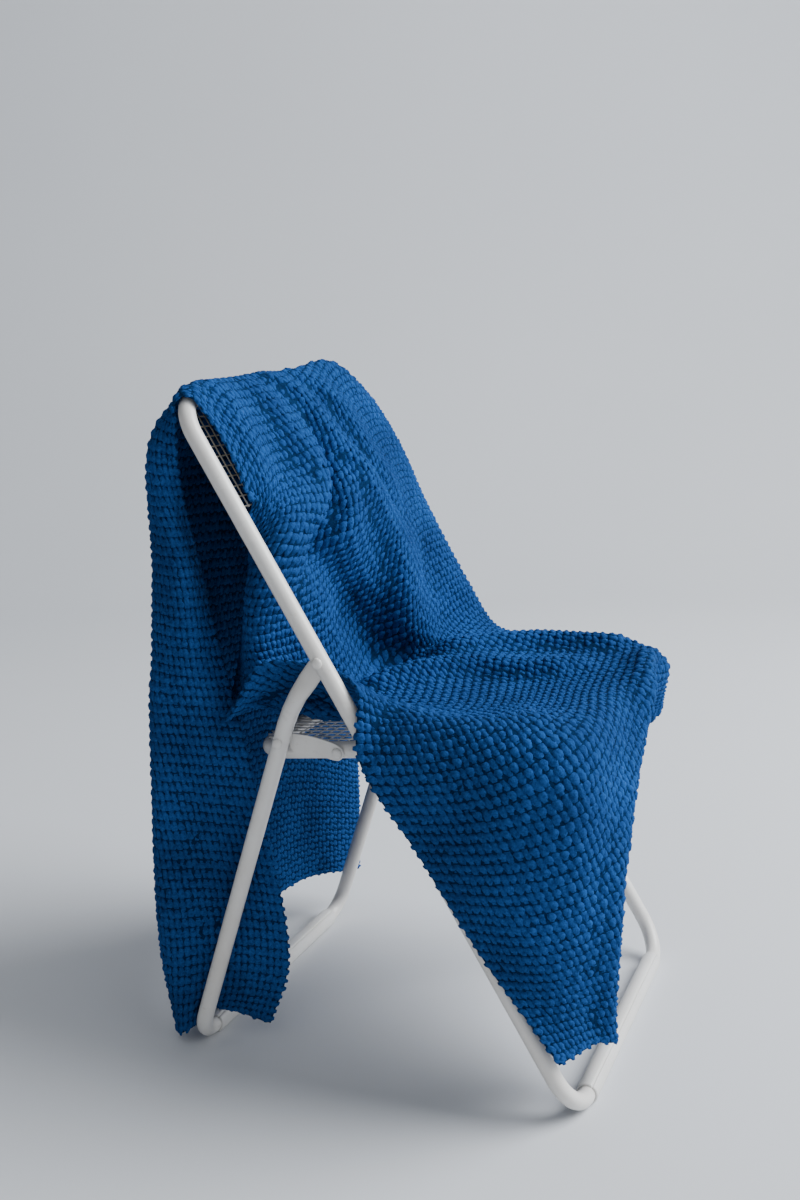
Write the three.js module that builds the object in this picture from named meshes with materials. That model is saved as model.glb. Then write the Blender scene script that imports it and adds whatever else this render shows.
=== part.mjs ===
// A knitted wool throw draped over a folding tubular chair with wire-mesh seat and back.
// Millimetres, +Z up. The chair faces +X, the near side of the photograph is -Y, and the floor is z = 0.
import * as THREE from "three";

const V = (x, y, z) => new THREE.Vector3(x, y, z);

// Middle of the overall size seen from above, which becomes the origin.
const MIDDLE = { x: -15.5, y: 7.7 };

// Chair: steel tube and overall sizes, taken at tube centres.
const TUBE_R = 9.5;
const TUBE_SIDES = 10;
const BEND_STEPS = 5;
const BEND_STUB = 8;
const PIECE_GAP = 0.3;
const FLOOR_TUBE_Z = 11;
const MAIN_HALF_WIDTH = 218;
const MAIN_FOOT_X = 229;
const MAIN_TOP = { x: -204.1, z: 754 };
const MAIN_BEND_R = 45;
const REAR_HALF_WIDTH = 199;
const REAR_FOOT_X = -229;
const REAR_BEND_R = 34;
const SEAT_HALF_WIDTH = 175;
const SEAT_REAR = { x: -145, z: 362 };
const SEAT_FRONT = { x: 215, z: 396.5 };
const SEAT_BEND_R = 38;

// Rear leg from the floor bend up to its flattened end at the pivot, seen from the side.
// half is the half width in the side view, thin the half thickness across, shift the offset inward.
const LEG_SECTIONS = [
  { x: -214.7, z: 54, half: 9.5, thin: 9.5, shift: 0 },
  { x: -99, z: 401, half: 9.5, thin: 9.5, shift: 0 },
  { x: -92, z: 418, half: 9.7, thin: 9.3, shift: 0 },
  { x: -82, z: 436, half: 10.2, thin: 8.5, shift: 0 },
  { x: -70, z: 453, half: 11.5, thin: 5.5, shift: 0.5 },
  { x: -58, z: 468, half: 11, thin: 2.6, shift: -3.6 },
  { x: -50, z: 475.5, half: 8.5, thin: 2.2, shift: -4.2 },
  { x: -46, z: 480, half: 4.5, thin: 2.2, shift: -4.2 },
];
const PIVOT = { x: -45, z: 480 };
const SEAT_PIVOT = { x: -105, z: 382 };
const LINK_RIVET = { x: -44, z: 371 };
const RIVET_R = 6;
const RIVET_DOME = 3;
const LINK_THICK = 2.5;

// Wire mesh, drawn plainly as a grid of square bars.
const WIRE = 2.6;
const MESH_PITCH = 60;
const BACK_MESH_FROM = 728;
const BACK_MESH_TO = 838;
const BACK_MESH_HALF_WIDTH = 190;

// Plastic sleeves on the straight of the floor bars, flat underneath.
const SLEEVE_R = 12;
const SLEEVE_HALF_LENGTH = { front: 171, rear: 163 };

// Throw: one sheet, its lines along the length named by their distance from the near edge.
const CLOTH_THICK = 7;
const CLOTH_CLEAR = 2.6;
const LINES = { near: 0, turn: 65, inner: 150, middle: 310, outer: 470, far: 620 };
const ACROSS_MM = 23;
const REST_PASSES = 5;
const SOFTEN = 0.2;
const MOST_LIFT = 24;

// One row per section across the throw, from the hem behind the chair to the hem in front.
// steps is the number of facets from a section to the next.
const SECTIONS = [
  { at: "back hem", steps: 4, near: [-160, -150, 17], turn: [-212, -177, 38], inner: [-258, -196, 10],
    middle: [-280, -20, 50], outer: [-262, 148, 68], far: [-218, 250, 52] },
  { at: "back low", steps: 6, near: [-129, -158, 105], turn: [-203, -184, 118], inner: [-273, -198, 118],
    middle: [-286, -30, 150], outer: [-262, 140, 170], far: [-218, 258, 175] },
  { at: "back middle", steps: 7, near: [-155, -176, 330], turn: [-222, -194, 325], inner: [-275, -190, 330],
    middle: [-278, -25, 345], outer: [-250, 140, 355], far: [-222, 256, 350] },
  { at: "back high", steps: 5, near: [-214, -162, 548], turn: [-214, -199, 546], inner: [-262, -188, 560],
    middle: [-258, 15, 572], outer: [-240, 160, 572], far: [-222, 252, 500] },
  { at: "rail back", steps: 7, near: [-216, -200, 692], turn: [-232, -210, 704], inner: [-250, -186, 722],
    middle: [-242, 52, 726], outer: [-236, 185, 718], far: [-216, 248, 590] },
  { at: "rail top", steps: 7, near: [-199, -212, 759], turn: [-204, -172, 771], inner: [-204, -108, 772],
    middle: [-204, 52, 776], outer: [-204, 186, 780], far: [-202, 248, 635] },
  { at: "rail front", steps: 5, near: [-176, -199, 735], turn: [-175, -130, 735], inner: [-172, -58, 736],
    middle: [-170, 88, 740], outer: [-170, 220, 742], far: [-180, 252, 605] },
  { at: "mesh middle", steps: 4, near: [-140, -192, 668], turn: [-137, -132, 670], inner: [-131, -60, 674],
    middle: [-129, 88, 675], outer: [-129, 229, 674], far: [-140, 258, 535] },
  { at: "mesh foot", steps: 4, near: [-121, -180, 606], turn: [-110, -150, 604], inner: [-97, -72, 611],
    middle: [-95, 80, 614], outer: [-96, 219, 611], far: [-105, 252, 475] },
  { at: "sag", steps: 5, near: [-200, -124, 541], turn: [-140, -178, 549], inner: [-97, -90, 540],
    middle: [-70, 70, 545], outer: [-62, 216, 548], far: [-72, 246, 425] },
  { at: "roll back", steps: 4, near: [-212, -140, 434], turn: [-146, -172, 453], inner: [-110, -88, 455],
    middle: [-72, 55, 465], outer: [-28, 216, 487], far: [-40, 242, 385] },
  { at: "roll bottom", steps: 3, near: [-169, -205, 399], turn: [-128, -176, 400], inner: [-102, -88, 398],
    middle: [-72, 42, 412], outer: [-5, 213, 450], far: [-15, 240, 362] },
  { at: "roll front", steps: 3, near: [-149, -208, 428], turn: [-110, -180, 408], inner: [-82, -86, 404],
    middle: [-50, 36, 408], outer: [15, 207, 434], far: [10, 240, 352] },
  { at: "roll crest", steps: 3, near: [-122, -205, 469], turn: [-78, -182, 405], inner: [-60, -82, 402],
    middle: [-25, 32, 418], outer: [40, 203, 427], far: [40, 240, 348] },
  { at: "seat back", steps: 4, near: [-66, -188, 467], turn: [-35, -165, 410], inner: [-10, -105, 400],
    middle: [40, 35, 408], outer: [90, 200, 423], far: [90, 240, 345] },
  { at: "tube front", steps: 4, near: [-5, -218, 454], turn: [25, -165, 425], inner: [70, -125, 405],
    middle: [105, 30, 406], outer: [140, 196, 422], far: [140, 238, 345] },
  { at: "seat side", steps: 6, near: [3, -237, 385], turn: [60, -214, 407], inner: [135, -170, 415],
    middle: [165, 15, 410], outer: [190, 190, 420], far: [188, 228, 345] },
  { at: "flap top", steps: 6, near: [68, -238, 287], turn: [125, -238, 327], inner: [214, -203, 397],
    middle: [238, -25, 411], outer: [246, 178, 412], far: [230, 216, 340] },
  { at: "flap middle", steps: 6, near: [140, -238, 178], turn: [198, -237, 213], inner: [247, -190, 245],
    middle: [240, -25, 300], outer: [218, 125, 345], far: [224, 190, 330] },
  { at: "front hem", steps: 0, near: [217, -236, 77], turn: [238, -184, 77], inner: [245, -128, 66],
    middle: [200, -10, 172], outer: [198, 112, 268], far: [214, 172, 326] },
];

// Folds: ridges (+) and troughs (-), each along a path of places on the cloth, with a width on the
// path's near side and one on its far side.
// A place is a section number counted from the back hem and a distance from the near edge.
const FOLDS = [
  { at: "turned near edge", nearWidth: 22, farWidth: 40, height: 8,
    path: [[5.65, 52], [6, 42], [6.67, 30], [7.1, 28]] },
  { at: "low ridge under the rail", nearWidth: 18, farWidth: 34, height: 9,
    path: [[5.9, 144], [6.5, 130], [7, 132]] },
  { at: "middle ridge under the rail", nearWidth: 22, farWidth: 42, height: 24,
    path: [[5.7, 217], [6.25, 220], [6.83, 222], [7.33, 214], [7.7, 204]] },
  { at: "far ridge under the rail", nearWidth: 22, farWidth: 45, height: 20,
    path: [[5.7, 307], [6.08, 298], [6.5, 306], [7.08, 304], [7.6, 318]] },
  { at: "near edge of the pouch", nearWidth: 18, farWidth: 34, height: 11,
    path: [[8.3, 66], [9, 66], [10.5, 66]] },
  { at: "pouch", nearWidth: 60, farWidth: 20, height: 24,
    path: [[7.1, 172], [7.5, 160], [7.67, 152], [8, 130], [8.3, 126]] },
  { at: "crease", nearWidth: 20, farWidth: 26, height: -26,
    path: [[7.15, 188], [7.5, 176], [7.7, 168], [8, 148], [8.3, 142]] },
  { at: "valley", nearWidth: 34, farWidth: 18, height: -32,
    path: [[8.3, 146], [9, 196], [9.58, 232], [10.25, 286], [10.7, 330]] },
  { at: "ridge over the sag", nearWidth: 18, farWidth: 50, height: 27,
    path: [[7.7, 250], [8.08, 262], [8.58, 278], [9.25, 294], [9.92, 318], [10.33, 334]] },
  { at: "far hollow", nearWidth: 26, farWidth: 30, height: -13,
    path: [[9.25, 384], [9.75, 380], [10.33, 392]] },
  { at: "back ridge on the seat", nearWidth: 22, farWidth: 28, height: 15,
    path: [[11.33, 345], [13.17, 360], [13.58, 390], [14.2, 414], [16, 428]] },
  { at: "front ridge on the seat", nearWidth: 22, farWidth: 28, height: 15,
    path: [[12.5, 222], [13, 254], [13.42, 302], [13.83, 334], [14.67, 338], [15.33, 350]] },
  { at: "shoulder of the flap", nearWidth: 24, farWidth: 24, height: 7,
    path: [[15.7, 68], [16, 114], [16.3, 177]] },
  { at: "fold of the back fall", nearWidth: 26, farWidth: 26, height: 7, path: [[0.2, 118], [2.4, 124]] },
  { at: "front edge of the flap", nearWidth: 34, farWidth: 34, height: 12,
    path: [[16.75, 398], [17.2, 340], [17.67, 254], [18, 186], [18.5, 146], [19, 112]] },
  { at: "behind the front edge", nearWidth: 42, farWidth: 42, height: -16,
    path: [[17.1, 440], [17.6, 340], [18, 262], [18.5, 215], [19, 175]] },
];

const painted = (color, roughness) => new THREE.MeshStandardMaterial({ color, roughness, metalness: 0 });
const root = new THREE.Group();
const add = (name, geometry, material) => {
  const mesh = new THREE.Mesh(geometry, material);
  mesh.name = name;
  mesh.position.set(-MIDDLE.x, -MIDDLE.y, 0);
  root.add(mesh);
};

// Closed skin over rings of equal length, with flat ends.
function skin(rings) {
  const count = rings[0].length;
  const position = [];
  const index = [];
  rings.forEach((ring) => ring.forEach((p) => position.push(p.x, p.y, p.z)));
  for (let r = 0; r + 1 < rings.length; r++) {
    for (let k = 0; k < count; k++) {
      const a = r * count + k;
      const b = r * count + ((k + 1) % count);
      index.push(a, b, a + count, b, b + count, a + count);
    }
  }
  const last = (rings.length - 1) * count;
  for (let k = 1; k + 1 < count; k++) {
    index.push(0, k + 1, k);
    index.push(last, last + k, last + k + 1);
  }
  const geometry = new THREE.BufferGeometry();
  geometry.setAttribute("position", new THREE.Float32BufferAttribute(position, 3));
  geometry.setIndex(index);
  return geometry;
}

// Ring of a tube at p: half across the bend plane, thin along its normal.
function ring(p, tangent, normal, half, thin) {
  const across = new THREE.Vector3().crossVectors(normal, tangent).normalize();
  return Array.from({ length: TUBE_SIDES }, (_, k) => {
    const t = ((k + 0.5) / TUBE_SIDES) * 2 * Math.PI;
    return p.clone().addScaledVector(across, half * Math.cos(t)).addScaledVector(normal, thin * Math.sin(t));
  });
}

// Round tube through points that lie in one plane.
function tube(points, normal, radius = TUBE_R) {
  const rings = points.map((p, i) => {
    const from = points[Math.max(i - 1, 0)];
    const to = points[Math.min(i + 1, points.length - 1)];
    return ring(p, to.clone().sub(from).normalize(), normal, radius, radius);
  });
  return skin(rings);
}

// Points of a U: a straight bar along Y with a quarter bend and a short straight stub at each end.
// foot is the bar's middle, up the direction its ends turn to.
function barWithBends(foot, up, halfWidth, bendR) {
  const points = [foot.clone().addScaledVector(up, bendR + BEND_STUB).setY(-halfWidth)];
  for (let i = 0; i <= BEND_STEPS; i++) {
    const t = (i / BEND_STEPS) * (Math.PI / 2);
    const p = foot.clone().addScaledVector(up, bendR * (1 - Math.sin(t)));
    points.push(p.setY(-halfWidth + bendR * (1 - Math.cos(t))));
  }
  const mirrored = points.map((p) => V(p.x, -p.y, p.z)).reverse();
  return points.concat(mirrored);
}

const white = () => painted(0xe4dfd8, 0.3);
const mainFoot = V(MAIN_FOOT_X, 0, FLOOR_TUBE_Z);
const mainTop = V(MAIN_TOP.x, 0, MAIN_TOP.z);
const mainUp = mainTop.clone().sub(mainFoot).normalize();
const mainLength = mainTop.distanceTo(mainFoot);
const mainNormal = V(mainUp.z, 0, -mainUp.x);
const onMain = (along, y, off) =>
  mainFoot.clone().addScaledVector(mainUp, along).addScaledVector(mainNormal, off).setY(y);

// Main frame: top rail and floor bar with their bends, and the two straight sides.
const mainDown = mainUp.clone().negate();
add("main_top_rail", tube(barWithBends(mainTop, mainDown, MAIN_HALF_WIDTH, MAIN_BEND_R), mainNormal),
  white());
add("main_floor_bar", tube(barWithBends(mainFoot, mainUp, MAIN_HALF_WIDTH, MAIN_BEND_R), mainNormal),
  white());
for (const [side, s] of [["near", -1], ["far", 1]]) {
  const from = onMain(MAIN_BEND_R + BEND_STUB + PIECE_GAP, s * MAIN_HALF_WIDTH, 0);
  const to = onMain(mainLength - MAIN_BEND_R - BEND_STUB - PIECE_GAP, s * MAIN_HALF_WIDTH, 0);
  add("main_side_" + side, tube([from, to], mainNormal), white());
}

// Rear legs: floor bar with its bends, and the two legs flattened at the pivot.
const rearFoot = V(REAR_FOOT_X, 0, FLOOR_TUBE_Z);
const legTop = V(LEG_SECTIONS[1].x, 0, LEG_SECTIONS[1].z);
const rearUp = legTop.clone().sub(rearFoot).normalize();
const rearNormal = V(rearUp.z, 0, -rearUp.x);
add("rear_floor_bar", tube(barWithBends(rearFoot, rearUp, REAR_HALF_WIDTH, REAR_BEND_R), rearNormal),
  white());
for (const [side, s] of [["near", -1], ["far", 1]]) {
  const start = rearFoot.clone().addScaledVector(rearUp, REAR_BEND_R + BEND_STUB + PIECE_GAP);
  const sections = LEG_SECTIONS.map((l, i) => (i ? l : { ...l, x: start.x, z: start.z }));
  const rings = sections.map((l, i) => {
    const from = sections[Math.max(i - 1, 0)];
    const to = sections[Math.min(i + 1, sections.length - 1)];
    const tangent = V(to.x - from.x, 0, to.z - from.z).normalize();
    return ring(V(l.x, s * (REAR_HALF_WIDTH - l.shift), l.z), tangent, V(0, 1, 0), l.half, l.thin);
  });
  add("rear_leg_" + side, skin(rings), white());
}

// Seat frame: front and rear bars with their bends, and the two straight sides.
const seatRear = V(SEAT_REAR.x, 0, SEAT_REAR.z);
const seatFront = V(SEAT_FRONT.x, 0, SEAT_FRONT.z);
const seatAlong = seatFront.clone().sub(seatRear).normalize();
const seatLength = seatFront.distanceTo(seatRear);
const seatUp = V(-seatAlong.z, 0, seatAlong.x);
const onSeat = (along, y, off) =>
  seatRear.clone().addScaledVector(seatAlong, along).addScaledVector(seatUp, off).setY(y);
const seatBack = seatAlong.clone().negate();
add("seat_front_bar", tube(barWithBends(seatFront, seatBack, SEAT_HALF_WIDTH, SEAT_BEND_R), seatUp),
  white());
add("seat_rear_bar", tube(barWithBends(seatRear, seatAlong, SEAT_HALF_WIDTH, SEAT_BEND_R), seatUp), white());
for (const [side, s] of [["near", -1], ["far", 1]]) {
  const from = onSeat(SEAT_BEND_R + BEND_STUB + PIECE_GAP, s * SEAT_HALF_WIDTH, 0);
  const to = onSeat(seatLength - SEAT_BEND_R - BEND_STUB - PIECE_GAP, s * SEAT_HALF_WIDTH, 0);
  add("seat_side_" + side, tube([from, to], seatUp), white());
}

// Cuts across a grid of bars: each bar's two edges, from one end to the other.
function barEdges(from, to) {
  const bars = Math.round((to - from - WIRE) / MESH_PITCH);
  const step = (to - from - WIRE) / bars;
  return Array.from({ length: bars + 1 }, (_, i) => [from + i * step, from + i * step + WIRE]).flat();
}

// Flat grid of bars, length along its own X and width along its own Y, thickness from 0 up.
// Odd strips in both directions are the openings.
function grid(length, width) {
  const xs = barEdges(0, length);
  const ys = barEdges(-width / 2, width / 2);
  const outside = (i, j) => i < 0 || j < 0 || i > xs.length - 2 || j > ys.length - 2;
  const open = (i, j) => outside(i, j) || (i % 2 === 1 && j % 2 === 1);
  const position = [];
  const quad = (a, b, c, d) => [a, b, c, a, c, d].forEach((p) => position.push(...p));
  for (let i = 0; i + 1 < xs.length; i++) {
    for (let j = 0; j + 1 < ys.length; j++) {
      if (open(i, j)) continue;
      const at = (p, q, z) => [xs[i + p], ys[j + q], z];
      quad(at(0, 0, WIRE), at(1, 0, WIRE), at(1, 1, WIRE), at(0, 1, WIRE));
      quad(at(0, 0, 0), at(0, 1, 0), at(1, 1, 0), at(1, 0, 0));
      if (open(i, j - 1)) quad(at(0, 0, 0), at(1, 0, 0), at(1, 0, WIRE), at(0, 0, WIRE));
      if (open(i, j + 1)) quad(at(1, 1, 0), at(0, 1, 0), at(0, 1, WIRE), at(1, 1, WIRE));
      if (open(i - 1, j)) quad(at(0, 1, 0), at(0, 0, 0), at(0, 0, WIRE), at(0, 1, WIRE));
      if (open(i + 1, j)) quad(at(1, 0, 0), at(1, 1, 0), at(1, 1, WIRE), at(1, 0, WIRE));
    }
  }
  const geometry = new THREE.BufferGeometry();
  return geometry.setAttribute("position", new THREE.Float32BufferAttribute(position, 3));
}
const placed = (geometry, x, y, z, at) => {
  const turn = new THREE.Matrix4().makeBasis(x, y, z).setPosition(at);
  return geometry.applyMatrix4(turn);
};
const yAxis = V(0, 1, 0);
const seatMeshFrom = onSeat(-2, 0, TUBE_R + PIECE_GAP);
const seatMesh = grid(seatLength + 4, 2 * SEAT_HALF_WIDTH + 4);
add("seat_mesh", placed(seatMesh, seatAlong, yAxis, seatUp, seatMeshFrom), white());
const backMesh = grid(BACK_MESH_TO - BACK_MESH_FROM, 2 * BACK_MESH_HALF_WIDTH);
add("back_mesh", placed(backMesh, mainUp, yAxis.clone().negate(), mainNormal,
  onMain(BACK_MESH_FROM, 0, -WIRE / 2)), white());

// Link plates between the rear legs and the seat sides, notched below, and the rivet heads.
const seatOuter = SEAT_HALF_WIDTH + TUBE_R;
const LINK_OUTLINE = [[-100, 389], [-72, 387], [-40, 378], [-36, 371], [-41, 363], [-52, 363],
  [-66, 368], [-71, 372], [-77, 367], [-100, 371]];
const linkShape = new THREE.Shape(LINK_OUTLINE.map(([x, z]) => new THREE.Vector2(x, z)));
function rivet(x, y, z, s) {
  const profile = [[0, 0], [RIVET_R, 0], [RIVET_R * 0.8, RIVET_DOME * 0.6], [0, RIVET_DOME]];
  const head = new THREE.LatheGeometry(profile.map(([r, h]) => new THREE.Vector2(r, h)), TUBE_SIDES);
  return head.rotateX(s < 0 ? Math.PI : 0).translate(x, y, z);
}
for (const [side, s] of [["near", -1], ["far", 1]]) {
  const link = new THREE.ExtrudeGeometry(linkShape, { depth: LINK_THICK, bevelEnabled: false });
  const linkOuter = s < 0 ? -seatOuter - PIECE_GAP : seatOuter + PIECE_GAP + LINK_THICK;
  add("link_" + side, link.rotateX(Math.PI / 2).translate(0, linkOuter, 0), white());
  const outside = s * (MAIN_HALF_WIDTH + TUBE_R + PIECE_GAP);
  add("pivot_rivet_" + side, rivet(PIVOT.x, outside, PIVOT.z, s), white());
  const legOutside = s * (REAR_HALF_WIDTH + TUBE_R + PIECE_GAP);
  add("seat_rivet_" + side, rivet(SEAT_PIVOT.x, legOutside, SEAT_PIVOT.z, s), white());
  const linkOutside = s * (seatOuter + LINK_THICK + 2 * PIECE_GAP);
  add("link_rivet_" + side, rivet(LINK_RIVET.x, linkOutside, LINK_RIVET.z, s), white());
}

// Sleeves round the floor bars.
for (const [bar, x] of [["front", MAIN_FOOT_X], ["rear", REAR_FOOT_X]]) {
  const flat = Math.asin(FLOOR_TUBE_Z / SLEEVE_R);
  const outline = new THREE.Shape();
  outline.absarc(0, 0, SLEEVE_R, -flat, Math.PI + flat, false);
  const bore = new THREE.Path();
  bore.absarc(0, 0, TUBE_R + PIECE_GAP, 0, 2 * Math.PI, true);
  outline.holes.push(bore);
  const half = SLEEVE_HALF_LENGTH[bar];
  const run = { depth: 2 * half, bevelEnabled: false, curveSegments: 10 };
  const sleeve = new THREE.ExtrudeGeometry(outline, run);
  sleeve.rotateX(Math.PI / 2).translate(x, half, FLOOR_TUBE_Z);
  add("sleeve_" + bar, sleeve, painted(0xdedad4, 0.45));
}

// Throw: the spline surface through the sections, lifted along its folds, rested on the chair
// and then thickened.
const lineNames = Object.keys(LINES);
const lineCurves = lineNames.map((name) => {
  const points = SECTIONS.map((section) => V(...section[name]));
  return new THREE.CatmullRomCurve3(points, false, "centripetal");
});
const lineAt = Object.values(LINES);

// Steps from one section or line to the next.
const stepsAlong = SECTIONS.slice(0, -1).map((section) => section.steps);
const stepsAcross = lineAt.slice(1).map((v, i) => Math.max(3, Math.round((v - lineAt[i]) / ACROSS_MM)));
const fractions = (n) => Array.from({ length: n }, (_, k) => k / n);
const spread = (steps) => steps.flatMap((n, i) => fractions(n).map((f) => i + f)).concat(steps.length);
const alongAt = spread(stepsAlong);
const acrossAt = spread(stepsAcross);

// Distances along and across the cloth, in mm, at a place counted in sections or in lines.
const valueAt = (values, q) => {
  const i = Math.min(Math.floor(q), values.length - 2);
  return values[i] + (q - i) * (values[i + 1] - values[i]);
};
const sectionAt = [0];
SECTIONS.slice(1).forEach((section, i) => {
  sectionAt.push(sectionAt[i] + V(...section.middle).distanceTo(V(...SECTIONS[i].middle)));
});
const onCloth = (along, across) => new THREE.Vector2(valueAt(sectionAt, along), across);

const surface = alongAt.map((u) => {
  const points = lineCurves.map((curve) => curve.getPoint(u / (SECTIONS.length - 1)));
  const section = new THREE.CatmullRomCurve3(points, false, "centripetal");
  return acrossAt.map((q) => section.getPoint(q / (lineAt.length - 1)));
});

// Outward normals of the upper face from the neighbouring points.
function normalsOf(points) {
  const rows = points.length;
  const columns = points[0].length;
  return points.map((row, i) => row.map((_, j) => {
    const du = points[Math.min(i + 1, rows - 1)][j].clone().sub(points[Math.max(i - 1, 0)][j]);
    const dv = row[Math.min(j + 1, columns - 1)].clone().sub(row[Math.max(j - 1, 0)]);
    return du.cross(dv).normalize();
  }));
}

// Distance from a place on the cloth to a path of places, less than nothing on the path's near side.
function distanceToPath(place, path) {
  let best = Infinity;
  let side = 1;
  path.slice(1).forEach((to, i) => {
    const along = to.clone().sub(path[i]);
    const off = place.clone().sub(path[i]);
    const turn = along.cross(off);
    const t = THREE.MathUtils.clamp(off.dot(along) / along.lengthSq(), 0, 1);
    const away = off.addScaledVector(along, -t).length();
    if (away < best) {
      best = away;
      side = turn < 0 ? -1 : 1;
    }
  });
  return side * best;
}
const foldPaths = FOLDS.map((fold) => fold.path.map(([along, across]) => onCloth(along, across)));
const foldHeight = (place) => FOLDS.reduce((sum, fold, i) => {
  const away = distanceToPath(place, foldPaths[i]);
  const width = away < 0 ? fold.nearWidth : fold.farWidth;
  return sum + fold.height * Math.exp(-((away / width) ** 2));
}, 0);

const flatNormals = normalsOf(surface);
surface.forEach((row, i) => row.forEach((p, j) => {
  p.addScaledVector(flatNormals[i][j], foldHeight(onCloth(alongAt[i], valueAt(lineAt, acrossAt[j]))));
}));

// Rests a point of the cloth on the chair: pushed off every tube and mesh edge, the seat mesh
// and the back mesh.
const restGap = CLOTH_THICK / 2 + CLOTH_CLEAR;
const seatTubeR = TUBE_R + 2 * PIECE_GAP + WIRE;
const pivotOut = MAIN_HALF_WIDTH + PIECE_GAP + RIVET_DOME;
const chairRuns = [];
const addRuns = (points, radius) => {
  points.slice(1).forEach((to, i) => chairRuns.push({ from: points[i], to, radius }));
};
addRuns(barWithBends(mainTop, mainDown, MAIN_HALF_WIDTH, MAIN_BEND_R), TUBE_R);
addRuns(barWithBends(mainFoot, mainUp, MAIN_HALF_WIDTH, MAIN_BEND_R), SLEEVE_R);
addRuns(barWithBends(rearFoot, rearUp, REAR_HALF_WIDTH, REAR_BEND_R), SLEEVE_R);
addRuns(barWithBends(seatFront, seatBack, SEAT_HALF_WIDTH, SEAT_BEND_R), seatTubeR);
addRuns(barWithBends(seatRear, seatAlong, SEAT_HALF_WIDTH, SEAT_BEND_R), seatTubeR);
for (const s of [-1, 1]) {
  addRuns([onMain(0, s * MAIN_HALF_WIDTH, 0), onMain(mainLength, s * MAIN_HALF_WIDTH, 0)], TUBE_R);
  addRuns([onSeat(0, s * SEAT_HALF_WIDTH, 0), onSeat(seatLength, s * SEAT_HALF_WIDTH, 0)], seatTubeR);
  addRuns([V(PIVOT.x, s * MAIN_HALF_WIDTH, PIVOT.z), V(PIVOT.x, s * pivotOut, PIVOT.z)], TUBE_R);
  addRuns(LEG_SECTIONS.map((l) => V(l.x, s * REAR_HALF_WIDTH, l.z)), TUBE_R);
}
const meshCorner = (along, s) => onMain(along, s * BACK_MESH_HALF_WIDTH, 0);
addRuns([meshCorner(BACK_MESH_TO, -1), meshCorner(BACK_MESH_FROM, -1), meshCorner(BACK_MESH_FROM, 1),
  meshCorner(BACK_MESH_TO, 1)], WIRE);

const nearest = new THREE.Vector3();
function rest(p) {
  for (const { from, to, radius } of chairRuns) {
    new THREE.Line3(from, to).closestPointToPoint(p, true, nearest);
    const away = p.clone().sub(nearest);
    const distance = away.length();
    if (distance < radius + restGap) p.copy(nearest).addScaledVector(away, (radius + restGap) / distance);
  }
  const seatOff = p.clone().sub(seatRear);
  const seatX = seatOff.dot(seatAlong);
  const overSeat = seatX > 0 && seatX < seatLength && Math.abs(p.y) < SEAT_HALF_WIDTH;
  const seatLift = seatTubeR + restGap - seatOff.dot(seatUp);
  if (overSeat && seatLift > 0 && seatLift < MOST_LIFT) p.addScaledVector(seatUp, seatLift);
  const backOff = p.clone().sub(mainFoot);
  const backX = backOff.dot(mainUp);
  const overBack = backX > BACK_MESH_FROM && backX < BACK_MESH_TO && Math.abs(p.y) < BACK_MESH_HALF_WIDTH;
  const backLift = WIRE + restGap - backOff.dot(mainNormal);
  if (overBack && backLift > 0 && backLift < MOST_LIFT) p.addScaledVector(mainNormal, backLift);
}

// Eases every inner point towards the middle of its neighbours.
function soften(points) {
  const before = points.map((row) => row.map((p) => p.clone()));
  for (let i = 1; i + 1 < points.length; i++) {
    for (let j = 1; j + 1 < points[0].length; j++) {
      const sum = before[i - 1][j].clone().add(before[i + 1][j]).add(before[i][j - 1]).add(before[i][j + 1]);
      points[i][j].lerp(sum.multiplyScalar(0.25), SOFTEN);
    }
  }
}
const cornersOf = (i, j) => [surface[i][j], surface[i + 1][j], surface[i][j + 1], surface[i + 1][j + 1]];
for (let pass = 0; pass < REST_PASSES; pass++) {
  soften(surface);
  surface.forEach((row) => row.forEach(rest));
  for (let i = 0; i + 1 < surface.length; i++) {
    for (let j = 0; j + 1 < surface[0].length; j++) {
      const corners = cornersOf(i, j);
      const centre = corners.reduce((sum, p) => sum.add(p), V(0, 0, 0)).multiplyScalar(0.25);
      const rested = centre.clone();
      rest(rested);
      rested.sub(centre);
      corners.forEach((p) => p.add(rested));
    }
  }
}

// Upper face, lower face and edges of the sheet.
function sheet(points) {
  const normals = normalsOf(points);
  const rows = points.length;
  const columns = points[0].length;
  const position = [];
  const index = [];
  for (const side of [0.5, -0.5]) {
    points.forEach((row, i) => row.forEach((p, j) => {
      const q = p.clone().addScaledVector(normals[i][j], side * CLOTH_THICK);
      position.push(q.x, q.y, q.z);
    }));
  }
  const top = (i, j) => i * columns + j;
  const bottom = (i, j) => rows * columns + top(i, j);
  const quad = (a, b, c, d) => index.push(a, b, c, a, c, d);
  for (let i = 0; i + 1 < rows; i++) {
    for (let j = 0; j + 1 < columns; j++) {
      quad(top(i, j), top(i + 1, j), top(i + 1, j + 1), top(i, j + 1));
      quad(bottom(i, j), bottom(i, j + 1), bottom(i + 1, j + 1), bottom(i + 1, j));
    }
    quad(top(i, 0), bottom(i, 0), bottom(i + 1, 0), top(i + 1, 0));
    quad(top(i, columns - 1), top(i + 1, columns - 1), bottom(i + 1, columns - 1), bottom(i, columns - 1));
  }
  for (let j = 0; j + 1 < columns; j++) {
    quad(top(0, j), top(0, j + 1), bottom(0, j + 1), bottom(0, j));
    quad(top(rows - 1, j), bottom(rows - 1, j), bottom(rows - 1, j + 1), top(rows - 1, j + 1));
  }
  const geometry = new THREE.BufferGeometry();
  geometry.setAttribute("position", new THREE.Float32BufferAttribute(position, 3));
  return geometry.setIndex(index);
}
add("throw", sheet(surface), painted(0x17609f, 0.95));

export default root;
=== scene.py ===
import math

import bpy
import numpy as np
from mathutils import Matrix, Vector


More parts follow.
